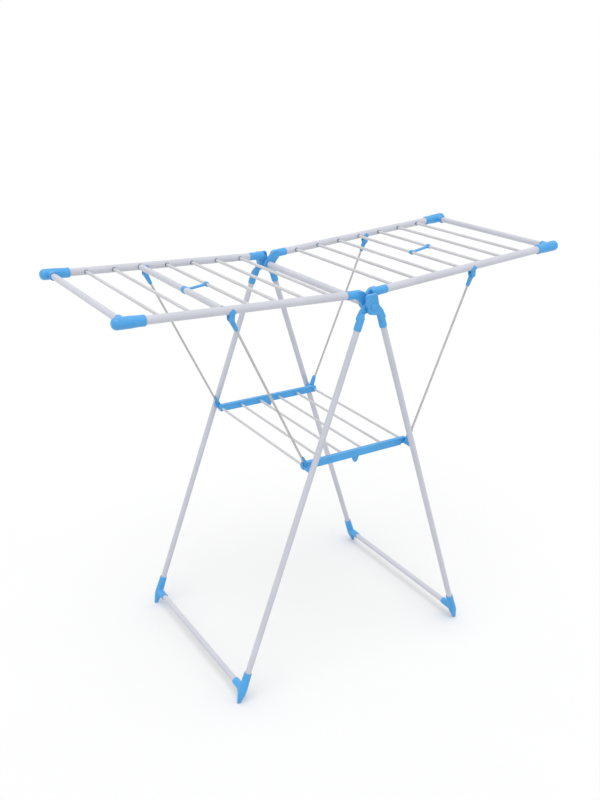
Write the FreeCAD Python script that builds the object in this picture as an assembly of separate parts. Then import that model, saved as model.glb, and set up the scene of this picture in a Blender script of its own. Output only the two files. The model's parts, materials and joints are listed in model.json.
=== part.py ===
"""Gull-wing clothes drying rack, modelled open and standing on its four feet.

Millimetres, +Z up.  The wings run along X, the hub axle runs along Y, and the
origin is on the floor under the middle of the axle.  "left" is -X, "near" is -Y.

Every piece is described once, for the +X +Y quarter, and mirrored by two signs:
s = -1 left, +1 right; e = -1 near, +1 far.
"""
import FreeCAD, Part
import math
import os

from FreeCAD import Vector

os.makedirs("parts", exist_ok=True)

# ---------------------------------------------------------------- named sizes
# Legs
AXLE_HEIGHT = 1033.0          # floor to the middle of the axle
FOOT_REACH = 376.5            # middle of the rack to a leg's axis at the floor
LEG_OFFSET = 19.2             # leg axis to axle, so that two legs close side by side
LEG_FLARE = 6.0               # a leg's axis leans out by this much down to the floor
LEG_DIAMETER = 16.0
LEG_WALL = 0.7
FLOOR_BAR_HEIGHT = 38.0
FLOOR_BAR_DIAMETER = 16.0
FLOOR_BAR_WALL = 0.7

# Feet
FOOT_TOP = 84.0               # height of the sleeve's mouth
FOOT_WIDEST = 30.0            # height where the sleeve turns into the pointed toe
FOOT_MOUTH_WALL = 2.2
FOOT_WALL = 4.0
TOE_RADIUS = 4.5
FOOT_BORE_BOTTOM = 18.0       # height where the leg tube ends inside the foot
BAR_SOCKET_WALL = 2.4
BAR_SOCKET_LENGTH = 32.0
BAR_TO_LEG_GAP = 1.5          # plastic left between the bar's end and the leg

# Wings
WING_REACH = 630.0            # axle to end tube, along the wing
WING_OFFSET = 25.5            # side tube axis above the axle
WING_RISE = {-1: 1.5, 1: 5.0}  # degrees above level, left and right
WING_PLANE = 238.0            # middle of the rack to a side tube's axis
SIDE_DIAMETER = 20.0
SIDE_WALL = 0.7
END_DIAMETER = 16.0
END_WALL = 0.7
ROD_DIAMETER = 8.0
ROD_WALL = 0.5
ROD_FIRST = 95.0              # axle to the first cross rod
ROD_LAST_GAP = 89.8           # last cross rod to the end tube
ROD_COUNT = 7
ROD_PAST_AXIS = 5.0           # rod ends stop inside the side tube, this far past its axis
BRACE_ROD = 4                 # on the left wing this rod is a thick tube instead
BRACE_DIAMETER = 16.0
BRACE_WALL = 0.7
LINK_RODS = (3, 4)            # the two cross rods that the centre link ties together
LINK_AT = {-1: (-2.5, -38.0), 1: (-22.5, -5.5)}   # the link lies askew: its Y on each rod
LINK_WIDTH = 11.0
LINK_THICKNESS = 5.0
LINK_CLIP_WALL = 2.4

# Corners
CORNER_MOUTH = 48.0           # end tube to the corner's mouth on the side tube
CORNER_NOSE = 27.0            # end tube to the corner's rounded nose
CORNER_WALL = 2.4
CORNER_BULGE_WALL = 4.0       # round the elbow, where the cap is widest
CORNER_COLLAR_WALL = 2.9
CORNER_COLLAR_LENGTH = 9.0
CORNER_NOSE_ROUND = 12.0
CORNER_SOCKET_WALL = 2.5
CORNER_SOCKET_LENGTH = 19.0   # beyond the side tube, towards the middle
CORNER_TUBE_GAP = 6.0         # side tube's end to the end tube's surface
CORNER_CROSS_DEPTH = 10.0     # end tube runs this far past the side tube's inner face

# Hub: on each pin, outwards from the axle tube, two wing plates and two leg plates
AXLE_DIAMETER = 19.0
AXLE_WALL = 1.0
SHOULDER = 2.0                # pin flange against the axle tube
PLATE_GAP = 0.7               # between plates that turn on each other
WING_TO_LEG_GAP = 0.8
COVER_TOP = 32.0              # top edge of the outer plate above the axle
PIN_RADIUS = 5.0
PIN_PLUG_LENGTH = 28.0
PIN_HEAD_RADIUS = 7.5
PIN_HEAD = 1.6
RUNNING = 0.05                # radial clearance of everything that turns
EYE_RADIUS = 15.0
WING_SOCKET_START = 16.0      # axle to the socket's blind end, along the wing
WING_SOCKET_END = 62.0
WING_SOCKET_WALL = 1.2
WING_MOUTH_WALL = 0.8
WING_TUBE_START = 34.0
LEG_SOCKET_START = 24.0
LEG_SOCKET_END = 68.0
LEG_SOCKET_WALL = 2.0
LEG_TUBE_START = 36.0

# Stays
BRACKET_ROD = {-1: 4, 1: 3}    # each bracket sits beside this cross rod
BRACKET_SIDE = {-1: -1, 1: 1}  # towards the hub, or away from it
BRACKET_ROD_GAP = {-1: 0.4, 1: 15.9}
BRACKET_LENGTH = 15.0
BRACKET_WALL = 2.2
BRACKET_GRIP = 3.0            # the bracket clasps the tube this far above its axis
STAY_DIAMETER = 6.0
STAY_FOOT_GAP = 24.0          # shelf axis, which the stay aims at, to its free end
STAY_PIN_RADIUS = 2.5
KNUCKLE_SIDE = 1.0            # knuckle wider than the stay by this much each side
KNUCKLE_RADIUS = 6.5
KNUCKLE_TO_SADDLE = 3.3
KNUCKLE_LENGTH = 32.0
KNUCKLE_TIP_WALL = 1.2
KNUCKLE_GRIP = 18.0           # length of rod held in the knuckle
CHEEK = 3.6
CHEEK_GAP = 0.4
CHEEK_RADIUS = 6.5

# Clips on the legs: a lug against the tube, an open channel for the stay, the shelf's seat
LUG_WALL = 3.5
LUG_GRIP = 3.0                # lug runs this far past the tube's inner face
CHANNEL_LENGTH = 38.0         # from the shelf axis
CHANNEL_WALL = 2.0
CHANNEL_GAP = 0.4
CHANNEL_BASE = 3.0
CHANNEL_LIP = 3.6             # walls past the stay's axis
CHANNEL_FLOOR = 1.5           # solid left above the lug

# Shelf
SHELF_DROP = 409.0            # axle down to the axis of the rods, pivots and pegs
RAIL_TO_CHANNEL = 2.6
RAIL_THICKNESS = 12.0
RAIL_TOP = 11.0               # above the shelf axis
RAIL_BOTTOM = 9.0
RAIL_OVERHANG = 6.5           # rail past the pivot axis
RAIL_END_ROUND = 4.5
SHELF_ROD_DIAMETER = 7.0
SHELF_ROD_WALL = 0.5
SHELF_ROD_COUNT = 6
SHELF_ROD_DEPTH = 5.5
SHELF_PIN_RADIUS = 4.0
PEG_GAP = 0.4
PEG_END_GAP = 0.6
TAB_WIDTH = 22.0
TAB_DROP = 17.0
TAB_THICKNESS = 6.0

# ------------------------------------------------------- worked-out positions
_reach = math.hypot(FOOT_REACH, AXLE_HEIGHT)
LEG_ANGLE = math.acos(LEG_OFFSET / _reach) - math.atan2(AXLE_HEIGHT, FOOT_REACH)
LEG_DOWN = Vector(math.sin(LEG_ANGLE), 0, -math.cos(LEG_ANGLE))
LEG_OUT = Vector(math.cos(LEG_ANGLE), 0, math.sin(LEG_ANGLE))
HUB = Vector(0, 0, AXLE_HEIGHT)

SIDE_RADIUS = SIDE_DIAMETER / 2
LEG_RADIUS = LEG_DIAMETER / 2
WING_SOCKET_RADIUS = SIDE_RADIUS + WING_SOCKET_WALL
LEG_SOCKET_RADIUS = LEG_RADIUS + LEG_SOCKET_WALL
WING_PLATE = WING_SOCKET_RADIUS - PLATE_GAP / 2
LEG_PLATE = LEG_SOCKET_RADIUS - PLATE_GAP / 2
Y_WING_INNER = WING_PLANE - WING_SOCKET_RADIUS
Y_WING_OUTER = WING_PLANE + PLATE_GAP / 2
AXLE_END = Y_WING_INNER - PLATE_GAP - SHOULDER
LEG_PLANE = WING_PLANE + WING_SOCKET_RADIUS + WING_TO_LEG_GAP + LEG_SOCKET_RADIUS
FOOT_PLANE = LEG_PLANE + LEG_FLARE
Y_LEG_INNER = LEG_PLANE - LEG_SOCKET_RADIUS
Y_LEG_OUTER = LEG_PLANE + PLATE_GAP / 2
Y_HEAD = LEG_PLANE + LEG_SOCKET_RADIUS + PLATE_GAP

ROD_PITCH = (WING_REACH - ROD_FIRST - ROD_LAST_GAP) / (ROD_COUNT - 1)
BRACKET_RADIUS = SIDE_RADIUS + BRACKET_WALL
STAY_DROP = BRACKET_RADIUS + KNUCKLE_TO_SADDLE + KNUCKLE_RADIUS
KNUCKLE_WIDTH = STAY_DIAMETER + 2 * KNUCKLE_SIDE
CHANNEL_SLOT = STAY_DIAMETER / 2 + CHANNEL_GAP
LUG_RADIUS = SHELF_PIN_RADIUS + LUG_WALL

SHELF_HEIGHT = AXLE_HEIGHT - SHELF_DROP
RAIL_OUTER = WING_PLANE - CHANNEL_SLOT - CHANNEL_WALL - RAIL_TO_CHANNEL
RAIL_INNER = RAIL_OUTER - RAIL_THICKNESS
RIGHT, LEFT = 1, -1
NEAR, FAR = -1, 1
SIDE_NAME = {LEFT: "left", RIGHT: "right"}
END_NAME = {NEAR: "near", FAR: "far"}


def leg_plane(z):
    """Middle of the rack to a leg's axis at height z."""
    return FOOT_PLANE + (LEG_PLANE - FOOT_PLANE) * z / AXLE_HEIGHT


def leg_point(z):
    """Point of the leg's axis at height z, in the +X +Y quarter."""
    x = FOOT_REACH - z * math.tan(LEG_ANGLE)
    return Vector(x, leg_plane(z), z)


def leg_local(along, out, y=0.0):
    """Hub-centred place: along the leg downwards, then outwards from it."""
    return HUB + LEG_DOWN * along + LEG_OUT * out + Vector(0, y, 0)


def wing_axes(s):
    rise = math.radians(WING_RISE[s])
    return (Vector(math.cos(rise), 0, math.sin(rise)),
            Vector(-math.sin(rise), 0, math.cos(rise)))


def wing_point(s, along, up=WING_OFFSET, y=0.0):
    """Hub-centred place on a wing: along it, then above the axle."""
    out, normal = wing_axes(s)
    return HUB + out * along + normal * up + Vector(0, y, 0)


def rod_place(index):
    return ROD_FIRST + ROD_PITCH * index


# --------------------------------------------------------------------- shapes
def mirrored(shape, s, e):
    """The +X +Y quarter's shape moved to side s and end e."""
    if s < 0:
        shape = shape.mirror(Vector(0, 0, 0), Vector(1, 0, 0))
    if e < 0:
        shape = shape.mirror(Vector(0, 0, 0), Vector(0, 1, 0))
    return shape


def rod(a, b, radius):
    return Part.makeCylinder(radius, (b - a).Length, a, b - a)


def cone(a, b, radius_a, radius_b):
    return Part.makeCone(radius_a, radius_b, (b - a).Length, a, b - a)


def pipe(a, b, diameter, wall):
    direction = (b - a).normalize()
    bore = rod(a - direction, b + direction, diameter / 2 - wall)
    return rod(a, b, diameter / 2).cut(bore)


def plate(points, y0, y1):
    """Outline in X and Z, given thickness from y0 to y1."""
    flat = [Vector(p.x, y0, p.z) for p in points]
    face = Part.Face(Part.makePolygon(flat + flat[:1]))
    return face.extrude(Vector(0, y1 - y0, 0))


def disc(centre, radius, y0, y1):
    return rod(Vector(centre.x, y0, centre.z), Vector(centre.x, y1, centre.z), radius)


def fused(shapes):
    return shapes[0].fuse(shapes[1:]).removeSplitter()


def save(name, shape):
    solids = shape.Solids
    result = solids[0] if len(solids) == 1 else Part.makeCompound(solids)
    result.exportStep("parts/%s.step" % name)


def name_of(s, what, e=None):
    parts = [SIDE_NAME[s], what] if s else [what]
    return "_".join(parts + ([END_NAME[e]] if e else []))


# ----------------------------------------------------------------- leg frames
def leg_tube():
    top = leg_local(LEG_TUBE_START, LEG_OFFSET)
    return pipe(leg_point(top.z), leg_point(FOOT_BORE_BOTTOM), LEG_DIAMETER, LEG_WALL)


def bar_end():
    return leg_plane(FLOOR_BAR_HEIGHT) - LEG_RADIUS - BAR_TO_LEG_GAP


def floor_bar():
    x = leg_point(FLOOR_BAR_HEIGHT).x
    return pipe(Vector(x, -bar_end(), FLOOR_BAR_HEIGHT), Vector(x, bar_end(), FLOOR_BAR_HEIGHT),
                FLOOR_BAR_DIAMETER, FLOOR_BAR_WALL)


def foot():
    """Tapered sleeve with a pointed toe, and a side socket for the floor bar."""
    axis = (leg_point(0) - leg_point(FOOT_TOP)).normalize()
    below = leg_point(0) + axis * 12
    widest = LEG_RADIUS + FOOT_WALL
    slope = (widest - TOE_RADIUS) / (leg_point(FOOT_WIDEST) - leg_point(0)).Length
    sleeve = cone(leg_point(FOOT_TOP), leg_point(FOOT_WIDEST),
                  LEG_RADIUS + FOOT_MOUTH_WALL, widest)
    toe = cone(leg_point(FOOT_WIDEST), below, widest, TOE_RADIUS - 12 * slope)
    middle = leg_point(FLOOR_BAR_HEIGHT)
    socket = rod(middle, Vector(middle.x, bar_end() - BAR_SOCKET_LENGTH, middle.z),
                 FLOOR_BAR_DIAMETER / 2 + BAR_SOCKET_WALL)
    body = fused([sleeve, toe, socket])
    body = body.cut(rod(leg_point(FOOT_BORE_BOTTOM), leg_point(FOOT_TOP + 20), LEG_RADIUS))
    body = body.cut(rod(Vector(middle.x, bar_end(), middle.z), Vector(middle.x, 0, middle.z),
                        FLOOR_BAR_DIAMETER / 2))
    floor = Part.makeBox(200, 200, 60, Vector(leg_point(0).x - 100, FOOT_PLANE - 100, -60))
    return body.cut(floor)


def on_eye(local, degrees):
    """Point of an eye's rim, turned from the first towards the second local axis."""
    angle = math.radians(degrees)
    return local(EYE_RADIUS * math.cos(angle), EYE_RADIUS * math.sin(angle))


def leg_arm(s):
    """Hub eye, neck and socket of one leg.  The right one is the outer, wider plate."""
    y0 = Y_LEG_OUTER if s == RIGHT else Y_LEG_INNER
    y1 = y0 + LEG_PLATE
    inner, outer = LEG_OFFSET - LEG_SOCKET_RADIUS, LEG_OFFSET + LEG_SOCKET_RADIUS
    seat = LEG_TUBE_START
    neck = [on_eye(leg_local, 114), leg_local(LEG_SOCKET_START, outer),
            leg_local(seat, outer), leg_local(seat, inner),
            leg_local(LEG_SOCKET_START + 6, inner), on_eye(leg_local, -24), HUB]
    pieces = [disc(HUB, EYE_RADIUS, y0, y1), plate(neck, y0, y1)]
    if s == RIGHT:
        top, side = COVER_TOP, EYE_RADIUS
        cover = [HUB + Vector(x, 0, z) for x, z in
                 ((-side - 6, top - 6), (-side - 3, top - 2), (side - 7, top),
                  (side - 4, top - 4), (side + 6, -side + 3), (side + 2, -side - 9),
                  (-side + 6, -side - 5), (-side, -side + 3), (-side - 5, side - 5))]
        pieces.append(plate(cover, y0, y1))
    top, mouth = leg_local(LEG_SOCKET_START, LEG_OFFSET), leg_local(LEG_SOCKET_END, LEG_OFFSET)
    pieces.append(rod(leg_point(top.z), leg_point(mouth.z), LEG_SOCKET_RADIUS))
    body = fused(pieces)
    seat = leg_local(LEG_TUBE_START, LEG_OFFSET)
    body = body.cut(rod(leg_point(seat.z), leg_point(mouth.z - 20), LEG_RADIUS))
    hole = PIN_RADIUS + (RUNNING if s == RIGHT else 0)
    return body.cut(disc(HUB, hole, y0 - 5, y1 + 5))


def axle_tube():
    return pipe(HUB + Vector(0, -AXLE_END, 0), HUB + Vector(0, AXLE_END, 0),
                AXLE_DIAMETER, AXLE_WALL)


def hub_pin():
    """Plug in the axle tube, flange, shaft and flush head in one turned piece."""
    plug = disc(HUB, AXLE_DIAMETER / 2 - AXLE_WALL, AXLE_END - PIN_PLUG_LENGTH, AXLE_END)
    flange = disc(HUB, AXLE_DIAMETER / 2, AXLE_END, AXLE_END + SHOULDER)
    shaft = disc(HUB, PIN_RADIUS, AXLE_END, Y_HEAD)
    head = cone(HUB + Vector(0, Y_HEAD, 0), HUB + Vector(0, Y_HEAD + PIN_HEAD, 0),
                PIN_HEAD_RADIUS, PIN_HEAD_RADIUS - PIN_HEAD)
    return fused([plug, flange, shaft, head])


# ---------------------------------------------------------------------- stays
def stay_pivot(s):
    return wing_point(s, bracket_place(s), WING_OFFSET - STAY_DROP, WING_PLANE)


def bracket_place(s):
    """Axle to the middle of the stay's bracket, beside its cross rod."""
    index = BRACKET_ROD[s]
    step = crossing(s, index) / 2 + BRACKET_ROD_GAP[s] + BRACKET_LENGTH / 2
    return rod_place(index) + BRACKET_SIDE[s] * step


def stay_foot(s):
    """Free end of the stay, on its line from the pivot to the shelf's axis."""
    axis = leg_point(SHELF_HEIGHT)
    axis = Vector(axis.x, WING_PLANE, axis.z)
    return axis + (stay_pivot(s) - axis).normalize() * STAY_FOOT_GAP


def stay_direction(s):
    return (stay_foot(s) - stay_pivot(s)).normalize()


def stay_rod(s):
    pivot, along = stay_pivot(s), stay_direction(s)
    start = pivot + along * (KNUCKLE_LENGTH - KNUCKLE_GRIP)
    return rod(start, stay_foot(s), STAY_DIAMETER / 2)


def stay_knuckle(s):
    pivot, along = stay_pivot(s), stay_direction(s)
    half = KNUCKLE_WIDTH / 2
    eye = disc(pivot, KNUCKLE_RADIUS, WING_PLANE - half, WING_PLANE + half)
    taper = cone(pivot, pivot + along * KNUCKLE_LENGTH, KNUCKLE_RADIUS,
                 STAY_DIAMETER / 2 + KNUCKLE_TIP_WALL)
    reach = 2 * KNUCKLE_LENGTH
    slab = plate([pivot + along * a + along.cross(Vector(0, 1, 0)) * b
                  for a, b in ((-reach, -reach), (reach, -reach), (reach, reach), (-reach, reach))],
                 WING_PLANE - half, WING_PLANE + half)
    body = fused([eye, taper.common(slab)])
    body = body.cut(rod(pivot + along * (KNUCKLE_LENGTH - KNUCKLE_GRIP),
                        pivot + along * (KNUCKLE_LENGTH + 10), STAY_DIAMETER / 2))
    return body.cut(disc(pivot, STAY_PIN_RADIUS + RUNNING, WING_PLANE - 20, WING_PLANE + 20))


def stay_bracket(s):
    """Clasp round the side tube's lower half, with two cheeks and a moulded pivot."""
    place, half = bracket_place(s), BRACKET_LENGTH / 2
    saddle = rod(wing_point(s, place - half, y=WING_PLANE),
                 wing_point(s, place + half, y=WING_PLANE), BRACKET_RADIUS)
    inner = KNUCKLE_WIDTH / 2 + CHEEK_GAP
    pivot = stay_pivot(s)
    top = WING_OFFSET - SIDE_RADIUS / 2
    wedge = [wing_point(s, place - half + 3, top), wing_point(s, place + half - 3, top),
             wing_point(s, place + CHEEK_RADIUS, WING_OFFSET - STAY_DROP),
             wing_point(s, place - CHEEK_RADIUS, WING_OFFSET - STAY_DROP)]
    pieces = [saddle]
    for y0, y1 in ((WING_PLANE - inner - CHEEK, WING_PLANE - inner),
                   (WING_PLANE + inner, WING_PLANE + inner + CHEEK)):
        pieces += [plate(wedge, y0, y1), disc(pivot, CHEEK_RADIUS, y0, y1)]
    pieces.append(disc(pivot, STAY_PIN_RADIUS, WING_PLANE - inner - 1, WING_PLANE + inner + 1))
    body = fused(pieces)
    above = [wing_point(s, place + step, WING_OFFSET + up) for step, up in
             ((-60, BRACKET_GRIP), (60, BRACKET_GRIP), (60, 60), (-60, 60))]
    body = body.cut(plate(above, WING_PLANE - 30, WING_PLANE + 30))
    return body.cut(rod(wing_point(s, place - 60, y=WING_PLANE),
                        wing_point(s, place + 60, y=WING_PLANE), SIDE_RADIUS))


def leg_clip(s):
    """Lug on the leg's inner face with the stay's open channel and the shelf's seat."""
    axis = leg_point(SHELF_HEIGHT)
    along = -stay_direction(s)                     # from the shelf axis up the stay
    across = Vector(along.z, 0, -along.x)          # away from the leg
    slot = CHANNEL_SLOT

    def block(a0, a1, b0, b1, y0, y1):
        corners = ((a0, b0), (a1, b0), (a1, b1), (a0, b1))
        return plate([axis + along * a + across * b for a, b in corners], y0, y1)

    wall = slot + CHANNEL_WALL
    channel = block(0, CHANNEL_LENGTH, -slot - CHANNEL_BASE, CHANNEL_LIP,
                    WING_PLANE - wall, WING_PLANE + wall)
    lug = disc(axis, LUG_RADIUS, WING_PLANE - wall, axis.y - LEG_RADIUS + LUG_GRIP)
    pieces = [lug, channel]
    if s == RIGHT:
        pieces.append(disc(axis, SHELF_PIN_RADIUS, peg_start(), WING_PLANE))
    body = fused(pieces)
    body = body.cut(block(LUG_RADIUS + CHANNEL_FLOOR, 2 * CHANNEL_LENGTH, -slot, CHANNEL_LENGTH,
                          WING_PLANE - slot, WING_PLANE + slot))
    body = body.cut(rod(leg_point(SHELF_HEIGHT - 60), leg_point(SHELF_HEIGHT + 120), LEG_RADIUS))
    if s == LEFT:
        body = body.cut(disc(axis, SHELF_PIN_RADIUS, 0, pin_end()))
    return body


def peg_start():
    """Pegs and pivot pins end just outside the shelf rods' blind holes."""
    return RAIL_INNER + SHELF_ROD_DEPTH + PEG_END_GAP + 0.5


def pin_end():
    return leg_plane(SHELF_HEIGHT) - LEG_RADIUS - BAR_TO_LEG_GAP


def shelf_pivot_pin():
    return disc(leg_point(SHELF_HEIGHT), SHELF_PIN_RADIUS, peg_start(), pin_end())


# ---------------------------------------------------------------------- wings
def wing_arm(s):
    """Hub eye, rising neck and socket of one side tube."""
    y0 = Y_WING_INNER if s == RIGHT else Y_WING_OUTER
    y1 = y0 + WING_PLATE
    top = WING_OFFSET + WING_SOCKET_RADIUS - 0.5
    low = WING_OFFSET - WING_SOCKET_RADIUS + 1
    seat = WING_TUBE_START

    def local(along, up):
        return wing_point(s, along, up)

    neck = [on_eye(local, 145), local(EYE_RADIUS / 4, top - 3), local(WING_SOCKET_START, top),
            local(seat, top), local(seat, low), local(seat - 8, low / 2), on_eye(local, -34)]
    socket = cone(wing_point(s, WING_SOCKET_START, y=WING_PLANE),
                  wing_point(s, WING_SOCKET_END, y=WING_PLANE),
                  WING_SOCKET_RADIUS, SIDE_RADIUS + WING_MOUTH_WALL)
    body = fused([disc(HUB, EYE_RADIUS, y0, y1), plate(neck, y0, y1), socket])
    body = body.cut(rod(wing_point(s, WING_TUBE_START, y=WING_PLANE),
                        wing_point(s, WING_SOCKET_END + 20, y=WING_PLANE), SIDE_RADIUS))
    return body.cut(disc(HUB, PIN_RADIUS + RUNNING, y0 - 5, y1 + 5))


def side_tube_end():
    return WING_REACH - END_DIAMETER / 2 - CORNER_TUBE_GAP


def crossing(s, index):
    """Diameter of the cross piece at one rod place."""
    return BRACE_DIAMETER if (s == LEFT and index == BRACE_ROD) else ROD_DIAMETER


def side_tube(s):
    tube = pipe(wing_point(s, WING_TUBE_START, y=WING_PLANE),
                wing_point(s, side_tube_end(), y=WING_PLANE), SIDE_DIAMETER, SIDE_WALL)
    holes = []
    for index in range(ROD_COUNT):
        centre = wing_point(s, rod_place(index))
        holes.append(disc(centre, crossing(s, index) / 2, WING_PLANE - 20, WING_PLANE))
    return tube.cut(holes)


def cross_tube(centre, half, diameter, wall):
    return pipe(centre - Vector(0, half, 0), centre + Vector(0, half, 0), diameter, wall)


def wing_rods(s):
    half = WING_PLANE + ROD_PAST_AXIS
    return Part.makeCompound([
        cross_tube(wing_point(s, rod_place(i)), half, ROD_DIAMETER, ROD_WALL)
        for i in range(ROD_COUNT) if crossing(s, i) == ROD_DIAMETER])


def brace_tube():
    """The thick cross tube stops inside the side tubes."""
    return cross_tube(wing_point(LEFT, rod_place(BRACE_ROD)), WING_PLANE,
                      BRACE_DIAMETER, BRACE_WALL)


def end_tube_half():
    return WING_PLANE - SIDE_RADIUS + CORNER_CROSS_DEPTH


def end_tube(s):
    return cross_tube(wing_point(s, WING_REACH), end_tube_half(), END_DIAMETER, END_WALL)


def corner(s):
    """Elbow cap: long rounded sleeve, collar at its mouth, side socket."""
    mouth, nose = WING_REACH - CORNER_MOUTH, WING_REACH + CORNER_NOSE
    sleeve = fused([
        cone(wing_point(s, mouth, y=WING_PLANE), wing_point(s, WING_REACH, y=WING_PLANE),
             SIDE_RADIUS + CORNER_WALL, SIDE_RADIUS + CORNER_BULGE_WALL),
        rod(wing_point(s, WING_REACH, y=WING_PLANE), wing_point(s, nose, y=WING_PLANE),
            SIDE_RADIUS + CORNER_BULGE_WALL)])
    tip = wing_point(s, nose, y=WING_PLANE)
    rim = [edge for edge in sleeve.Edges
           if edge.Curve.TypeId == "Part::GeomCircle" and (edge.Curve.Center - tip).Length < 1]
    sleeve = sleeve.makeFillet(CORNER_NOSE_ROUND, rim)
    collar = rod(wing_point(s, mouth, y=WING_PLANE),
                 wing_point(s, mouth + CORNER_COLLAR_LENGTH, y=WING_PLANE),
                 SIDE_RADIUS + CORNER_COLLAR_WALL)
    centre = wing_point(s, WING_REACH)
    inner = WING_PLANE - SIDE_RADIUS - CORNER_SOCKET_LENGTH
    socket = disc(centre, END_DIAMETER / 2 + CORNER_SOCKET_WALL, inner, WING_PLANE)
    body = fused([sleeve, collar, socket])
    body = body.cut(rod(wing_point(s, mouth - 20, y=WING_PLANE),
                        wing_point(s, side_tube_end(), y=WING_PLANE), SIDE_RADIUS))
    return body.cut(disc(centre, END_DIAMETER / 2, 0, end_tube_half()))


def centre_link(s):
    """Strip that lies askew between two cross rods, with a ring round each."""
    half = LINK_WIDTH / 2
    ends = [(wing_point(s, rod_place(i)), crossing(s, i) / 2, y)
            for i, y in zip(LINK_RODS, LINK_AT[s])]
    rings = [disc(c, r + LINK_CLIP_WALL, y - half, y + half) for c, r, y in ends]
    lift = wing_axes(s)[1] * LINK_THICKNESS
    edge = half - 1.5
    corners = [Vector(c.x, y + side, c.z) - lift / 2
               for (c, r, y), side in zip((ends[0], ends[0], ends[1], ends[1]),
                                          (-edge, edge, edge, -edge))]
    strip = Part.Face(Part.makePolygon(corners + corners[:1])).extrude(lift)
    body = fused(rings + [strip])
    return body.cut([disc(c, r, y - half - 20, y + half + 20) for c, r, y in ends])


# ---------------------------------------------------------------------- shelf
def shelf_rod_places():
    span = 2 * leg_point(SHELF_HEIGHT).x
    pitch = span / (SHELF_ROD_COUNT - 1)
    return [-span / 2 + pitch * i for i in range(SHELF_ROD_COUNT)]


def shelf_rail():
    """Rail with a pivot hole at its left end and a hook at its right end."""
    reach = leg_point(SHELF_HEIGHT).x
    end = reach + RAIL_OVERHANG
    bottom, height = SHELF_HEIGHT - RAIL_BOTTOM, RAIL_TOP + RAIL_BOTTOM
    bar = Part.makeBox(2 * end, RAIL_OUTER - RAIL_INNER, height,
                       Vector(-end, RAIL_INNER, bottom))
    upright = [edge for edge in bar.Edges
               if abs(edge.Vertexes[0].Y - edge.Vertexes[-1].Y) > 1]
    bar = bar.makeFillet(RAIL_END_ROUND, upright)
    middle = (RAIL_INNER + RAIL_OUTER) / 2
    drop = bottom - TAB_DROP
    tab = plate([Vector(x, 0, z) for x, z in
                 ((-TAB_WIDTH / 2, bottom + 2), (-TAB_WIDTH / 2 + 3, drop + 6), (-3, drop),
                  (3, drop), (TAB_WIDTH / 2 - 3, drop + 6), (TAB_WIDTH / 2, bottom + 2))],
                middle - TAB_THICKNESS / 2, middle + TAB_THICKNESS / 2)
    body = fused([bar, tab])
    for x in shelf_rod_places():
        body = body.cut(disc(Vector(x, 0, SHELF_HEIGHT), SHELF_ROD_DIAMETER / 2,
                             RAIL_INNER - 5, RAIL_INNER + SHELF_ROD_DEPTH))
    seat_start = peg_start() - PEG_END_GAP
    body = body.cut(disc(Vector(-reach, 0, SHELF_HEIGHT), SHELF_PIN_RADIUS + RUNNING,
                         seat_start, RAIL_OUTER + 5))
    room = SHELF_PIN_RADIUS + PEG_GAP
    under = SHELF_HEIGHT - RAIL_BOTTOM - 5
    notch = [Vector(x, 0, z) for x, z in
             ((reach + room, under), (reach + room, SHELF_HEIGHT + room),
              (reach - room, SHELF_HEIGHT + room), (reach - 3 * room, under))]
    return body.cut(plate(notch, seat_start, RAIL_OUTER + 5))


def shelf_rods():
    half = RAIL_INNER + SHELF_ROD_DEPTH
    return Part.makeCompound([
        cross_tube(Vector(x, 0, SHELF_HEIGHT), half, SHELF_ROD_DIAMETER, SHELF_ROD_WALL)
        for x in shelf_rod_places()])


# -------------------------------------------------------------------- the rack
for s in (LEFT, RIGHT):
    for e in (NEAR, FAR):
        save(name_of(s, "leg_tube", e), mirrored(leg_tube(), s, e))
        save(name_of(s, "foot", e), mirrored(foot(), s, e))
        save(name_of(s, "leg_arm", e), mirrored(leg_arm(s), s, e))
        save(name_of(s, "leg_clip", e), mirrored(leg_clip(s), s, e))
        save(name_of(s, "wing_arm", e), mirrored(wing_arm(s), s, e))
        save(name_of(s, "side_tube", e), mirrored(side_tube(s), s, e))
        save(name_of(s, "corner", e), mirrored(corner(s), s, e))
        save(name_of(s, "stay_bracket", e), mirrored(stay_bracket(s), s, e))
        save(name_of(s, "stay_knuckle", e), mirrored(stay_knuckle(s), s, e))
        save(name_of(s, "stay_rod", e), mirrored(stay_rod(s), s, e))
    save(name_of(s, "floor_bar"), mirrored(floor_bar(), s, FAR))
    save(name_of(s, "end_tube"), mirrored(end_tube(s), s, FAR))
    save(name_of(s, "wing_rods"), mirrored(wing_rods(s), s, FAR))
    save(name_of(s, "centre_link"), mirrored(centre_link(s), s, FAR))
save("left_brace_tube", mirrored(brace_tube(), LEFT, FAR))
save("axle_tube", axle_tube())
save("shelf_rods", shelf_rods())
for e in (NEAR, FAR):
    save(name_of(0, "hub_pin", e), mirrored(hub_pin(), RIGHT, e))
    save(name_of(0, "shelf_rail", e), mirrored(shelf_rail(), RIGHT, e))
    save(name_of(0, "shelf_pivot_pin", e), mirrored(shelf_pivot_pin(), LEFT, e))
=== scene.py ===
"""Winged clothes airer: moulded fittings, coated tube and a plain studio round the CAD frame."""
import json
import math

import bmesh
import bpy
from bpy.props import FloatProperty, FloatVectorProperty, IntProperty, PointerProperty
from mathutils import Matrix, Vector


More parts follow.
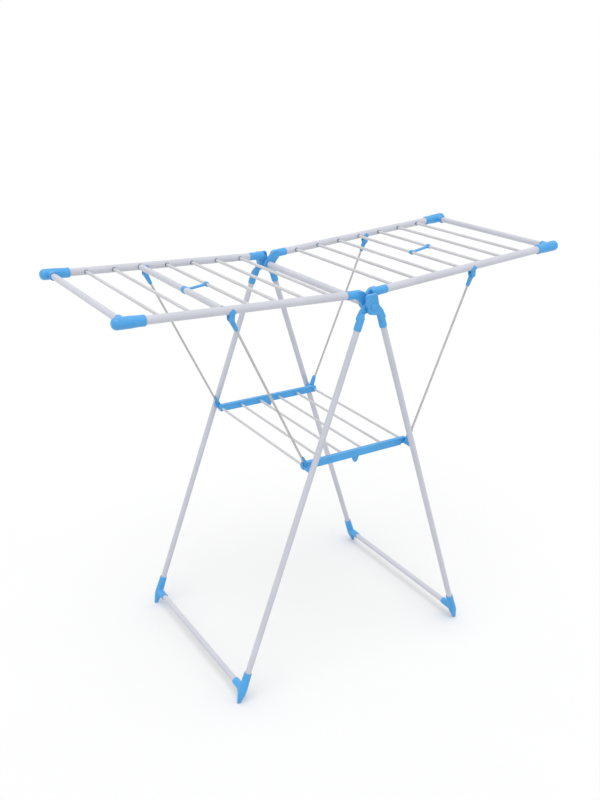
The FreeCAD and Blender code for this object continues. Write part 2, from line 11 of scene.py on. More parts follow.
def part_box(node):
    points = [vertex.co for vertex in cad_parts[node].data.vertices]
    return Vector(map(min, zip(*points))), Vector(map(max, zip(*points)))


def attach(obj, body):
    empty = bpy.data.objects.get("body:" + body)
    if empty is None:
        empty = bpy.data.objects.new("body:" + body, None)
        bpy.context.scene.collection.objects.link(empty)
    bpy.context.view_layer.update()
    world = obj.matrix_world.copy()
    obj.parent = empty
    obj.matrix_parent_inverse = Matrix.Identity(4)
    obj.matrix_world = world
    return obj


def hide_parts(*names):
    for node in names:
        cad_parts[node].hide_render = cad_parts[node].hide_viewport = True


bl_info = {
    "name": "Winged clothes airer",
    "version": (1, 0, 0),
    "blender": (4, 5, 0),
    "location": "View3D > Sidebar > Airer",
    "description": "Builds the fittings, finishes and studio of a folding winged clothes airer",
    "category": "Add Mesh",
}

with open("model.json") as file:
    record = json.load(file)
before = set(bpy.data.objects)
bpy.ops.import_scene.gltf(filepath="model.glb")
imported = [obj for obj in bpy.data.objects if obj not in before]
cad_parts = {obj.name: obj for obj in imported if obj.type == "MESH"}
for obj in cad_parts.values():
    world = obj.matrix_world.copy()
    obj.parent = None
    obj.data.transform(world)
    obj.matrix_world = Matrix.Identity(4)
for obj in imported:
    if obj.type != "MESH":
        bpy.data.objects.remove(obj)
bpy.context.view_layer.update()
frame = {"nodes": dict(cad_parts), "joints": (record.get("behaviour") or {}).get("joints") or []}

SIDES = {"left": -1, "right": 1}
ENDS = {"near": -1, "far": 1}
QUARTERS = [(side, end) for side in SIDES for end in ENDS]
JOINTS = {joint["name"]: joint for joint in frame["joints"]}
NODE_FINISHES = (("stay_rod", "wire"), ("_rods", "rod"), ("pin", "steel"), ("tube", "tube"),
                 ("bar", "tube"))
ACROSS = Vector((0, 1, 0))

# Distances in metres that belong together in more than one moulding
PLATE_HALF_GAP = 0.00035      # from a hub plate's face to the middle of its gap
FIT = 0.0004                  # play between the stay and what holds it
RIM_BAND = 0.0012             # depth of the ring of vertices at a tube's end
ROD_APART = 0.02              # two rods are further apart than this
EDGE_SOFT = 0.0012            # rounding of a plate's edges
BOSS_SOFT = 0.0014            # rounding of a hub eye
FINE_GRAIN = 0.0005           # mesh size of the small mouldings
FILLET_PASSES = 3             # smoothing of the small mouldings
SMALL_STEPS = 32              # flats round the smallest turned forms
SHARP_ANGLE = math.radians(40)


# ---- places read from the frame
def hub():
    return Vector(JOINTS["legs_fold"]["pos_m"])


def tube_line(node, towards):
    """Both ends and the radius of a straight tube, the end nearer to "towards" last."""
    points = [vertex.co.copy() for vertex in frame["nodes"][node].data.vertices]
    seed = max(points, key=lambda p: p.dot(towards))
    other = min(points, key=lambda p: p.dot(towards))
    along = (seed - other).normalized()
    for _ in range(3):
        reach = [p.dot(along) for p in points]
        first, last = min(reach), max(reach)
        rims = []
        for level in (first, last):
            ring = [p for p, r in zip(points, reach) if abs(r - level) < RIM_BAND]
            rims.append((Vector(map(min, *ring)) + Vector(map(max, *ring))) / 2)
        along = (rims[1] - rims[0]).normalized()
    radius = max((p - rims[0] - along * (p - rims[0]).dot(along)).length for p in points)
    return rims[0], rims[1], radius


def rods_across(node):
    """Centre and radius of each rod of a set whose rods all run from end to end."""
    points = sorted((v.co.copy() for v in frame["nodes"][node].data.vertices),
                    key=lambda p: p.x)
    sets = [[points[0]]]
    for last, point in zip(points, points[1:]):
        if point.x - last.x > ROD_APART:
            sets.append([])
        sets[-1].append(point)
    rods = []
    for rod in sets:
        low, high = Vector(map(min, *rod)), Vector(map(max, *rod))
        rods.append(((low + high) / 2, (high.x - low.x) / 2, low.y, high.y))
    return rods


def leg_line(side, end):
    """Top end, downward direction and radius of one leg tube."""
    top, foot, radius = tube_line(f"{side}_leg_tube_{end}", Vector((0, 0, -1)))
    return top, (foot - top).normalized(), radius


def wing_line(side, end):
    """Start at the hub, outward direction and radius of one side tube."""
    start, stop, radius = tube_line(f"{side}_side_tube_{end}", Vector((SIDES[side], 0, 0)))
    return start, (stop - start).normalized(), radius


def beside_hub(point, along):
    """Point of the hub's axis square to a line through "point", kept at the point's end."""
    centre = hub()
    centre.y = point.y
    return point + along * (centre - point).dot(along)


def inner_outer(node, end):
    """The node's faces across the rack: towards the middle, then away from it."""
    low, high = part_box(node)
    return (low.y, high.y) if end == "far" else (high.y, low.y)


# ---- shapes
def turned(profile, start, towards, steps=48):
    """Solid of revolution from "start": pairs of distance along the axis and radius."""
    form = bmesh.new()
    verts = [form.verts.new((radius, 0, distance)) for distance, radius in profile]
    edges = [form.edges.new(pair) for pair in zip(verts, verts[1:])]
    bmesh.ops.spin(form, geom=verts + edges, cent=(0, 0, 0), axis=(0, 0, 1), dvec=(0, 0, 0),
                   angle=2 * math.pi, steps=steps, use_merge=True)
    bmesh.ops.remove_doubles(form, verts=form.verts[:], dist=1e-7)
    turn = Vector((0, 0, 1)).rotation_difference(towards).to_matrix().to_4x4()
    bmesh.ops.transform(form, matrix=Matrix.Translation(start) @ turn, verts=form.verts[:])
    bmesh.ops.recalc_face_normals(form, faces=form.faces[:])
    return form


def softened(corners, radius, steps=5):
    """Profile with each of its inner corners turned into a small arc."""
    line = [Vector(corner) for corner in corners]
    soft = [line[0]]
    for before, corner, after in zip(line, line[1:], line[2:]):
        back, on = before - corner, after - corner
        reach = min(radius, back.length * 0.49, on.length * 0.49)
        a, b = corner + back.normalized() * reach, corner + on.normalized() * reach
        for step in range(steps + 1):
            t = step / steps
            soft.append(a.lerp(corner, t).lerp(corner.lerp(b, t), t))
    return [tuple(point) for point in soft + [line[-1]]]


def on_circle(radius, degrees):
    """Distances along and across of the point of a circle at an angle."""
    return radius * math.cos(math.radians(degrees)), radius * math.sin(math.radians(degrees))


def arc(centre, radius, first, last, steps=6):
    """Pairs of places on an arc from one angle to another, in degrees."""
    spots = [on_circle(radius, first + (last - first) * k / steps) for k in range(steps + 1)]
    return [(centre[0] + a, centre[1] + b) for a, b in spots]


def placer(origin, along, across):
    """Function that gives the point at a distance along and a distance across."""
    return lambda a, b: origin + along * a + across * b


def boss(centre, radius, y0, y1, soften=0.001):
    """Round boss that lies across the rack, from y0 to y1."""
    low, high = min(y0, y1), max(y0, y1)
    depth = high - low
    profile = softened([(0, 0), (0, radius), (depth, radius), (depth, 0)], soften)
    return turned(profile, Vector((centre.x, low, centre.z)), ACROSS)


def thickened(outline, depth, soften=0.0):
    """Flat outline in space, given thickness along "depth", with rounded edges."""
    form = bmesh.new()
    face = form.faces.new([form.verts.new(point) for point in outline])
    grown = bmesh.ops.extrude_face_region(form, geom=[face])
    verts = [item for item in grown["geom"] if isinstance(item, bmesh.types.BMVert)]
    bmesh.ops.translate(form, vec=depth, verts=verts)
    bmesh.ops.recalc_face_normals(form, faces=form.faces[:])
    if soften:
        bmesh.ops.bevel(form, geom=form.edges[:], offset=soften, offset_type="OFFSET",
                        segments=3, profile=0.5, affect="EDGES", material=-1,
                        clamp_overlap=True)
    return form


def slab(outline, y0, y1, soften=0.0):
    """Outline of x and z, given thickness from y0 to y1, with rounded edges."""
    return thickened([(p[0], min(y0, y1), p[-1]) for p in outline], ACROSS * abs(y1 - y0),
                     soften)


def cleared(form, point, outward):
    """Everything on the outward side of a plane is cut away and the cut is closed."""
    bmesh.ops.bisect_plane(form, geom=form.verts[:] + form.edges[:] + form.faces[:],
                           plane_co=point, plane_no=outward, clear_outer=True)
    bmesh.ops.holes_fill(form, edges=[edge for edge in form.edges if edge.is_boundary])
    return form


def assembled(name, forms):
    """One object from several closed forms."""
    whole = bmesh.new()
    for form in forms:
        part = bpy.data.meshes.new(name)
        form.to_mesh(part)
        form.free()
        whole.from_mesh(part)
        bpy.data.meshes.remove(part)
    mesh = bpy.data.meshes.new(name)
    whole.to_mesh(mesh)
    whole.free()
    piece = bpy.data.objects.new(name, mesh)
    bpy.context.scene.collection.objects.link(piece)
    return piece


def moulded(piece, grain, passes):
    """Closed forms run together into one skin with small fillets, as from a mould."""
    fuse = piece.modifiers.new("Fuse", "REMESH")
    fuse.mode = "VOXEL"
    fuse.voxel_size = grain
    relax = piece.modifiers.new("Relax", "SMOOTH")
    relax.factor = 0.5
    relax.iterations = passes
    bpy.context.view_layer.update()
    graph = bpy.context.evaluated_depsgraph_get()
    mesh = bpy.data.meshes.new_from_object(piece.evaluated_get(graph))
    piece.modifiers.clear()
    piece.data = mesh
    mesh.shade_smooth()
    return piece


def fitted(piece, body, finish, *nodes):
    """The finished piece takes its material, its body and the CAD nodes that it stands for."""
    piece.data.materials.clear()
    piece.data.materials.append(material(finish))
    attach(piece, body)
    if nodes:
        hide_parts(*nodes)
    return piece


def moulding(name, forms, body, node, grain, passes=5):
    """Plastic piece that stands for one CAD node."""
    return fitted(moulded(assembled(name, forms), grain, passes), body, "plastic", node)


# ---- shared node groups
def new_group(name, inputs, outputs):
    """Empty shader node group with named sockets, and its input and output nodes."""
    tree = bpy.data.node_groups.new(name, "ShaderNodeTree")
    for title, kind, default in inputs:
        made = tree.interface.new_socket(name=title, in_out="INPUT", socket_type="NodeSocket" + kind)
        if default is not None:
            made.default_value = default
    for title, kind in outputs:
        tree.interface.new_socket(name=title, in_out="OUTPUT", socket_type="NodeSocket" + kind)
    return tree, tree.nodes.new("NodeGroupInput"), tree.nodes.new("NodeGroupOutput")


def step(tree, kind, feeds=None, **settings):
    """Node with its settings made and its inputs linked or set."""
    made = tree.nodes.new("ShaderNode" + kind)
    for key, value in settings.items():
        setattr(made, key, value)
    for key, value in (feeds or {}).items():
        if isinstance(value, bpy.types.NodeSocket):
            tree.links.new(value, made.inputs[key])
        else:
            made.inputs[key].default_value = value
    return made


def noise(tree, vector, scale, **feeds):
    """Value of a noise texture."""
    return step(tree, "TexNoise",
                {"Vector": vector, "Scale": scale, **feeds}).outputs[0]


def ranged(tree, value, low, high, to_low=0.0, to_high=1.0):
    """Value carried from one range to another, held within it."""
    return step(tree, "MapRange",
                {0: value, 1: low, 2: high, 3: to_low, 4: to_high}).outputs[0]


def scaled(tree, value, factor):
    return step(tree, "Math", {0: value, 1: factor}, operation="MULTIPLY").outputs[0]


def grain_group():
    """Fine skin of a coating or a moulding, as a height."""
    tree, given, result = new_group(
        "Fine grain",
        [("Vector", "Vector", None), ("Scale", "Float", 900.0),
         ("Coarseness", "Float", 0.3)],
        [("Height", "Float")])
    spot, scale = given.outputs["Vector"], given.outputs["Scale"]
    fine = noise(tree, spot, scale, Detail=3.0, Roughness=0.55)
    broad = noise(tree, spot, scaled(tree, scale, 0.12), Detail=1.0)
    mix = step(tree, "Mix", {0: given.outputs["Coarseness"], 2: fine, 3: broad},
               data_type="FLOAT")
    tree.links.new(mix.outputs[0], result.inputs["Height"])
    return tree


def tone_group():
    """Slow drift of a colour, lighter and darker, over the surface."""
    tree, given, result = new_group(
        "Tone drift",
        [("Vector", "Vector", None),
         ("Color", "Color", (0.5, 0.5, 0.5, 1.0)),
         ("Scale", "Float", 14.0), ("Amount", "Float", 0.08)],
        [("Color", "Color"), ("Mask", "Float")])
    cloud = noise(tree, given.outputs["Vector"], given.outputs["Scale"], Detail=4.0,
                  Roughness=0.6)
    change = step(tree, "Math",
                  {0: ranged(tree, cloud, 0.3, 0.7, -1.0, 1.0), 1: given.outputs["Amount"],
                   2: 1.0}, operation="MULTIPLY_ADD")
    shade = step(tree, "VectorMath",
                 {0: given.outputs["Color"], 3: change.outputs[0]}, operation="SCALE")
    tree.links.new(shade.outputs[0], result.inputs["Color"])
    tree.links.new(cloud, result.inputs["Mask"])
    return tree


def rub_group():
    """Short fine rub marks in scattered patches."""
    tree, given, result = new_group(
        "Rub marks",
        [("Vector", "Vector", None), ("Scale", "Float", 30.0),
         ("Amount", "Float", 0.5)],
        [("Mask", "Float")])
    spot, scale = given.outputs["Vector"], given.outputs["Scale"]
    stretch = step(tree, "Mapping", {0: spot, 2: (0.5, 0.3, 0.9), 3: (1.0, 9.0, 3.0)})
    lines = noise(tree, stretch.outputs[0], scaled(tree, scale, 4.0), Detail=2.0)
    patch = noise(tree, spot, scale, Detail=2.0)
    both = scaled(tree, ranged(tree, lines, 0.6, 0.72), ranged(tree, patch, 0.52, 0.68))
    tree.links.new(scaled(tree, both, given.outputs["Amount"]), result.inputs["Mask"])
    return tree


def dust_group():
    """Light dust on the faces that look up."""
    tree, given, result = new_group(
        "Settled dust",
        [("Vector", "Vector", None), ("Normal", "Vector", None),
         ("Amount", "Float", 0.2)],
        [("Mask", "Float")])
    facing = step(tree, "SeparateXYZ", {0: given.outputs["Normal"]})
    speck = noise(tree, given.outputs["Vector"], 160.0, Detail=5.0, Roughness=0.7)
    both = scaled(tree, ranged(tree, facing.outputs[2], 0.35, 1.0),
                  ranged(tree, speck, 0.35, 0.75))
    tree.links.new(scaled(tree, both, given.outputs["Amount"]), result.inputs["Mask"])
    return tree


GROUP_MAKERS = {"Fine grain": grain_group, "Tone drift": tone_group,
                "Rub marks": rub_group, "Settled dust": dust_group}


def placed_group(tree, name, feeds):
    """Shared group in a material, made the first time that it is asked for."""
    group = bpy.data.node_groups.get(name) or GROUP_MAKERS[name]()
    return step(tree, "Group", feeds, node_tree=group)


# ---- finishes
FINISHES = {
    # grain scale per metre, grain depth in metres, roughness low and high, rub marks, dust
    "tube": dict(label="Powder coated tube", grain=700.0, depth=0.00006, rough=(0.30, 0.46),
                 tone=0.05, drift=9.0, rub=0.35, dust=0.10, coat=0.25),
    "rod": dict(label="Coated rod", grain=900.0, depth=0.00004, rough=(0.34, 0.50),
                tone=0.06, drift=16.0, rub=0.5, dust=0.10, coat=0.15),
    "plastic": dict(label="Blue moulded plastic", grain=1500.0, depth=0.00005,
                    rough=(0.30, 0.44), tone=0.06, drift=24.0, rub=0.30, dust=0.08),
    "wire": dict(label="Grey stay wire", grain=1300.0, depth=0.00003, rough=(0.30, 0.46),
                 tone=0.10, drift=40.0, rub=0.6, dust=0.10, metal=0.35),
    # The collar finish's dark colour is painted shade: it stands for the shadow in the holes where
    # the rods enter the side tubes.
    "collar": dict(label="Dark collar plastic", grain=1500.0, depth=0.00004,
                   rough=(0.42, 0.58), tone=0.08, drift=60.0, rub=0.3, dust=0.10),
    "steel": dict(label="Plated pin steel", grain=1100.0, depth=0.00003, rough=(0.22, 0.36),
                  tone=0.06, drift=50.0, rub=0.5, dust=0.05, metal=1.0),
}


def colour(name):
    return tuple(getattr(bpy.context.scene.airer_colours, name)) + (1.0,)


def blank_material(label):
    """Empty material, its tree and the outputs of its texture coordinates."""
    made = bpy.data.materials.new(label)
    made.use_nodes = True
    made.node_tree.nodes.clear()
    return made, made.node_tree, step(made.node_tree, "TexCoord").outputs


def material(finish):
    """The finish's material, made the first time that it is asked for."""
    facts = FINISHES[finish]
    found = bpy.data.materials.get(facts["label"])
    if found:
        return found
    made, tree, where = blank_material(facts["label"])
    spot, facing = where["Object"], where["Normal"]
    tone = placed_group(tree, "Tone drift", {"Vector": spot, "Color": colour(finish),
                                             "Scale": facts["drift"],
                                             "Amount": facts["tone"]})
    rub = placed_group(tree, "Rub marks", {"Vector": spot, "Scale": 30.0,
                                           "Amount": facts["rub"]})
    dust = placed_group(tree, "Settled dust", {"Vector": spot, "Normal": facing,
                                               "Amount": facts["dust"]})
    grain = placed_group(tree, "Fine grain", {"Vector": spot, "Scale": facts["grain"],
                                              "Coarseness": 0.35})
    worn = step(tree, "Mix",
                {0: scaled(tree, rub.outputs["Mask"], 0.35), 6: tone.outputs["Color"],
                 7: colour("rubbed")}, data_type="RGBA")
    dusty = step(tree, "Mix",
                 {0: dust.outputs["Mask"], 6: worn.outputs[2], 7: colour("dust")},
                 data_type="RGBA")
    sheen = ranged(tree, tone.outputs["Mask"], 0.3, 0.7, *facts["rough"])
    matt = step(tree, "Math", {0: rub.outputs["Mask"], 1: 0.25, 2: sheen},
                operation="MULTIPLY_ADD")
    bump = step(tree, "Bump",
                {"Strength": 0.6, "Distance": facts["depth"],
                 "Height": grain.outputs["Height"]})
    shader = step(tree, "BsdfPrincipled",
                  {"Base Color": dusty.outputs[2], "Roughness": matt.outputs[0],
                   "Metallic": facts.get("metal", 0.0),
                   "Coat Weight": facts.get("coat", 0.0),
                   "Coat Roughness": 0.25, "IOR": 1.48, "Normal": bump.outputs[0]})
    step(tree, "OutputMaterial", {"Surface": shader.outputs[0]})
    return made


# ---- sizes and colours
def size(name, description, default, smallest=0.0):
    return FloatProperty(name=name, description=description, default=default, unit="LENGTH",
                         precision=5, min=smallest)


class AirerSizes(bpy.types.PropertyGroup):
    """Sizes of the moulded fittings, in metres."""
    foot_top: size("Foot height", "Floor to the middle of the foot's mouth", 0.084)
    foot_widest: size("Foot shoulder height", "Floor to the foot's widest place", 0.030)
    foot_radius: size("Foot radius", "Radius of the foot at its widest", 0.012)
    foot_mouth: size("Foot mouth radius", "Radius of the foot's mouth", 0.0102)
    toe_radius: size("Toe radius", "Radius of the foot on the floor", 0.0045)
    bar_socket: size("Floor bar socket radius", "Radius of the socket on the foot", 0.0104)
    bar_grip: size("Floor bar socket length", "Length of bar held", 0.032)
    web_half: size("Foot web half width", "Half the thickness of the foot's rib", 0.0048)
    eye_radius: size("Hub eye radius", "Radius of the round eyes", 0.015)
    leg_socket_start: size("Leg socket start", "Hub to the socket's closed end", 0.024)
    leg_socket_end: size("Leg socket end", "Hub to the socket's mouth", 0.068)
    leg_socket_wall: size("Leg socket wall", "Plastic round the leg tube", 0.002)
    cover_top: size("Cover height", "Top edge of the outer hub plate over the pin", 0.032)
    wing_socket_start: size("Wing socket start", "Hub to the socket's closed end", 0.016)
    wing_socket_end: size("Wing socket end", "Hub to the socket's mouth", 0.062)
    wing_socket_wall: size("Wing socket wall", "Plastic round the side tube", 0.0012)
    corner_mouth: size("Corner mouth", "End tube to the corner's mouth", 0.048)
    corner_nose: size("Corner nose", "End tube to the corner's rounded nose", 0.027)
    corner_round: size("Corner nose rounding", "Radius of the nose's edge", 0.012)
    corner_wall: size("Corner wall", "Plastic at the corner's mouth", 0.0024)
    corner_bulge: size("Corner bulge", "Plastic at the elbow", 0.0040)
    corner_socket: size("Corner socket radius", "Radius of the end tube's socket", 0.0105)
    cheek_radius: size("Cheek radius", "Radius of the stay bracket's cheeks", 0.0065)
    cheek: size("Cheek thickness", "Thickness of each of the bracket's cheeks", 0.0036)
    stay_pin: size("Stay pin radius", "Radius of the pin that the stay turns on", 0.0025)
    bracket_wall: size("Bracket wall", "Plastic of the bracket round the side tube", 0.0022)
    bracket_half: size("Bracket half length", "Middle of the bracket to its ends", 0.0082)
    bracket_peak: size("Bracket peak", "Peaked top above the tube's axis", 0.005)
    knuckle_length: size("Knuckle length", "Pivot to the tip of the stay's knuckle", 0.032)
    lug_radius: size("Lug radius", "Radius of the lug on the leg", 0.0075)
    channel_wall: size("Channel wall", "Plastic each side of the stay", 0.0020)
    peg_radius: size("Peg radius", "Radius of the peg under the shelf's hook", 0.004)
    channel_length: size("Channel length", "Shelf axis to the channel's top", 0.038)
    link_ring: size("Link ring wall", "Centre link's ring on a thin rod", 0.0022)
    brace_ring: size("Link ring on brace", "Centre link's ring on the brace", 0.0014)
    rail_below: size("Rail below pivot", "Shelf axis to the rail's underside", 0.009)
    rail_round: size("Rail end rounding", "Radius of the rail's corners", 0.0045)
    rail_seat: size("Rail solid depth", "Inner part, which has no hook", 0.0061)
    tab_width: size("Finger tab width", "Width of the tab under the rail", 0.022)
    cap_radius: size("Hub cap radius", "Radius of the low cap on the pin", 0.0086)
    cap_lift: size("Hub cap rise", "How far the cap is domed", 0.0007)
    collar_lip: size("Collar lip", "Collar's wall round a thin rod", 0.0016)
    brace_lip: size("Brace collar lip", "Collar's wall round the thick brace", 0.0008)
    thin_rod: size("Thin rod limit", "A rod of a smaller radius is thin", 0.006)
    fillet_grain: size("Fillet grain", "Mesh size of the larger mouldings", 0.00055, 0.0002)
    rail_grain: size("Rail grain", "Mesh size of the shelf rails", 0.0008, 0.0002)
    steps: IntProperty(name="Turned steps", default=48, min=12,
                       description="Number of flats round a turned form")


def shade(name, description, default):
    return FloatVectorProperty(name=name, description=description, default=default,
                               subtype="COLOR", size=3, min=0.0, max=1.0)


class AirerColours(bpy.types.PropertyGroup):
    """Colours of the finishes."""
    tube: shade("Tube coating", "Pale lavender grey powder coat", (0.50, 0.51, 0.57))
    rod: shade("Rod coating", "Pale grey coat of the thin rods and stays", (0.52, 0.52, 0.54))
    plastic: shade("Blue plastic", "Sky blue moulded plastic", (0.052, 0.315, 0.66))
    wire: shade("Stay wire", "Bare grey wire of the stays", (0.46, 0.455, 0.45))
    # Dark colour of the rod collars: painted shade of the holes where the rods enter the side tubes.
    collar: shade("Collar plastic", "Dark blue grey plastic of the rod collars",
                  (0.085, 0.16, 0.22))
    steel: shade("Pin steel", "Zinc plated steel", (0.60, 0.61, 0.62))
    rubbed: shade("Rubbed", "Pale tone where a surface has been rubbed", (0.78, 0.80, 0.84))
    dust: shade("Dust", "Light household dust", (0.72, 0.71, 0.69))
    floor: shade("Floor", "Pale studio floor", (0.75, 0.75, 0.75))


class AirerStudio(bpy.types.PropertyGroup):
    """Camera and light."""
    camera_place: FloatVectorProperty(name="Camera place", subtype="TRANSLATION", size=3,
                                      description="Where the camera stands",
                                      default=(-1.28934, -1.93997, 1.62618), unit="LENGTH")
    azimuth: FloatProperty(name="Azimuth", default=math.radians(-32.94), subtype="ANGLE",
                           description="Turn of the view round the rack")
    elevation: FloatProperty(name="Elevation", default=math.radians(21.80), subtype="ANGLE",
                             description="How far the camera looks down")
    roll: FloatProperty(name="Roll", default=math.radians(1.28), subtype="ANGLE",
                        description="Tilt of the camera about its own line of sight")
    lens: FloatProperty(name="Focal length", default=40.30, unit="CAMERA",
                        description="Focal length on a 36 mm sensor")
    key_strength: FloatProperty(name="Key light", default=1.1, min=0.0,
                                description="Strength of the large soft light overhead")
    sky: FloatProperty(name="Room light", default=1.0, min=0.0,
                       description="Strength of the even light of the white room")


def sizes():
    return bpy.context.scene.airer_sizes


# ---- operators
class AirerStep:
    """What every step of the build shares."""
    bl_options = {"REGISTER", "UNDO"}


class AIRER_OT_tubes(AirerStep, bpy.types.Operator):
    """Give every tube, rod, stay and pin of the frame its finish"""
    bl_idname = "airer.finish_tubes"
    bl_label = "Finish tubes and rods"

    def execute(self, context):
        for name, node in frame["nodes"].items():
            finish = next((kind for word, kind in NODE_FINISHES if word in name), "plastic")
            node.data.materials.clear()
            node.data.materials.append(material(finish))
        return {"FINISHED"}


class AIRER_OT_feet(AirerStep, bpy.types.Operator):
    """Feet with a tapered sleeve, a toe, a socket for the floor bar and a web between them"""
    bl_idname = "airer.make_feet"
    bl_label = "Feet"

    def execute(self, context):
        s = sizes()
        for side, end in QUARTERS:
            top, down, radius = leg_line(side, end)
            up = -down
            ground = top + down * (top.z / up.z)
            mouth = s.foot_top / up.z
            wide = s.foot_widest / up.z
            toe = s.toe_radius
            sleeve = turned(
                [(-0.012, 0), (-0.012, toe - 0.002), (0.0, toe), (wide * 0.4, toe + 0.0030),
                 (wide * 0.75, toe + 0.0058), (wide, s.foot_radius - 0.0006),
                 (wide * 1.25, s.foot_radius - 0.0003), (mouth - 0.004, s.foot_mouth + 0.0002),
                 (mouth - 0.0008, s.foot_mouth), (mouth, s.foot_mouth - 0.0008),
                 (mouth, radius + 0.0003), (mouth - 0.0016, radius + 0.0001),
                 (mouth - 0.0016, 0)], ground, up, s.steps)
            bar_near, bar_far, bar_radius = tube_line(f"{side}_floor_bar", ACROSS)
            bar_end = bar_near if end == "near" else bar_far
            inward = Vector((0, -ENDS[end], 0))
            joint = ground + up * (bar_end.z / up.z)
            reach = (bar_end - joint).dot(inward) + s.bar_grip
            side_socket = turned(
                softened([(0, 0), (0, s.bar_socket), (reach * 0.55, s.bar_socket),
                          (reach, s.bar_socket - 0.0004), (reach, bar_radius + 0.0003),
                          (reach - 0.0015, bar_radius + 0.0001), (reach - 0.0015, 0)], 0.0007),
                joint, inward, s.steps)
            web = self.web(ground, up, joint, inward, reach, s)
            forms = [cleared(form, (0, 0, 0.0002), (0, 0, -1))
                     for form in (sleeve, side_socket, web)]
            moulding(f"{side}_foot_moulding_{end}", forms, f"{side}_legs",
                     f"{side}_foot_{end}", s.fillet_grain)
        return {"FINISHED"}

    def web(self, ground, up, joint, inward, reach, s):
        """Rib that runs from under the bar's socket down to the toe."""
        under = Vector((0, 0, s.bar_socket * 0.5))
        inner = joint + inward * reach * 0.62
        corners = [ground + up * 0.004, ground + up * 0.004 + inward * s.toe_radius * 0.8,
                   ground + up * 0.018 + inward * s.toe_radius * 1.9,
                   inner - under, inner, joint]
        square = up.cross(inward).normalized() * s.web_half
        return thickened([corner - square for corner in corners], square * 2, 0.002)


class AIRER_OT_leg_arms(AirerStep, bpy.types.Operator):
    """Hub eyes, necks and sockets at the top of the legs, with the broad outer plates"""
    bl_idname = "airer.make_leg_arms"
    bl_label = "Leg arms at the hub"

    def execute(self, context):
        s = sizes()
        for side, end in QUARTERS:
            node = f"{side}_leg_arm_{end}"
            top, down, radius = leg_line(side, end)
            start = beside_hub(top, down)
            out = Vector((start.x - hub().x, 0, start.z - hub().z))
            offset = out.length
            out.normalize()
            along = Vector((down.x, 0, down.z)).normalized()
            socket_radius = radius + s.leg_socket_wall
            inner, outer = offset - socket_radius, offset + socket_radius
            plane = top.y
            if side == "right":
                faces = (plane + ENDS[end] * PLATE_HALF_GAP, inner_outer(node, end)[1])
            else:
                faces = (plane - ENDS[end] * socket_radius, plane - ENDS[end] * PLATE_HALF_GAP)

            at = placer(hub(), along, out)
            seat = s.leg_socket_start + 0.012
            neck = [at(*on_circle(s.eye_radius, 106)), at(s.leg_socket_start - 0.004, outer - 0.0045),
                    at(seat + 0.004, outer - 0.0012), at(seat + 0.012, offset + 0.0030),
                    at(seat + 0.012, offset - 0.0030), at(seat + 0.004, inner + 0.0012),
                    at(s.leg_socket_start, inner + 0.0008), at(*on_circle(s.eye_radius, -30))]
            forms = [boss(hub(), s.eye_radius, *faces, soften=BOSS_SOFT),
                     slab(neck, *faces, soften=EDGE_SOFT)]
            if side == "right":
                forms += self.cover(faces, end, s)
            first, mouth = s.leg_socket_start, s.leg_socket_end
            forms.append(turned(
                softened([(first, 0), (first, socket_radius * 0.6), (seat, socket_radius - 0.0004),
                          (mouth - 0.006, socket_radius),
                          (mouth, socket_radius - 0.0004), (mouth, radius + 0.0004),
                          (mouth - 0.002, radius + 0.0001), (mouth - 0.002, 0)], 0.0009),
                start, down, s.steps))
            moulding(f"{side}_leg_arm_moulding_{end}", forms, f"{side}_legs",
                     node, s.fillet_grain)
        return {"FINISHED"}

    def cover(self, faces, end, s):
        """Broad plate over the hub, with a raised strip along its left edge."""
        top, side = s.cover_top, s.eye_radius
        outline = [(-side - 0.006, top - 0.006), (-side - 0.003, top - 0.002), (side - 0.007, top),
                   (side - 0.004, top - 0.004), (side + 0.006, -side + 0.003),
                   (side + 0.002, -side - 0.009), (-side + 0.006, -side - 0.005),
                   (-side, -side + 0.003), (-side - 0.005, side - 0.005)]
        rim = [(-side - 0.006, top - 0.006), (-side - 0.003, top - 0.002),
               (-side + 0.001, top - 0.0015), (-side - 0.001, side - 0.005),
               (-side + 0.004, -side + 0.003), (-side, -side + 0.003),
               (-side - 0.005, side - 0.005)]
        forms = []
        for shape, y0, y1 in ((outline, *faces), (rim, faces[1] - ENDS[end] * 0.002,
                                                  faces[1] + ENDS[end] * 0.0009)):
            place = [(hub().x + a, hub().z + b) for a, b in shape]
            forms.append(slab(place, y0, y1, soften=0.0013))
        return forms


class AIRER_OT_hub_caps(AirerStep, bpy.types.Operator):
    """Low domed caps over the heads of the hub pins"""
    bl_idname = "airer.make_hub_caps"
    bl_label = "Hub caps"

    def execute(self, context):
        s = sizes()
        for end in ENDS:
            _, face = inner_outer(f"hub_pin_{end}", end)
            radius, lift = s.cap_radius, s.cap_lift
            outward = Vector((0, ENDS[end], 0))
            start = Vector((hub().x, face, hub().z)) - outward * 0.0018
            cap = assembled(f"hub_cap_{end}", [turned(
                softened([(0, 0), (0, radius), (0.0014, radius), (0.0020, radius - 0.0008),
                          (0.0018 + lift, radius * 0.55), (0.0018 + lift * 1.2, 0)], 0.0005),
                start, outward, s.steps)])
            cap.data.shade_smooth()
            cap.data.set_sharp_from_angle(angle=SHARP_ANGLE)
            fitted(cap, "left_legs", "plastic")
        return {"FINISHED"}


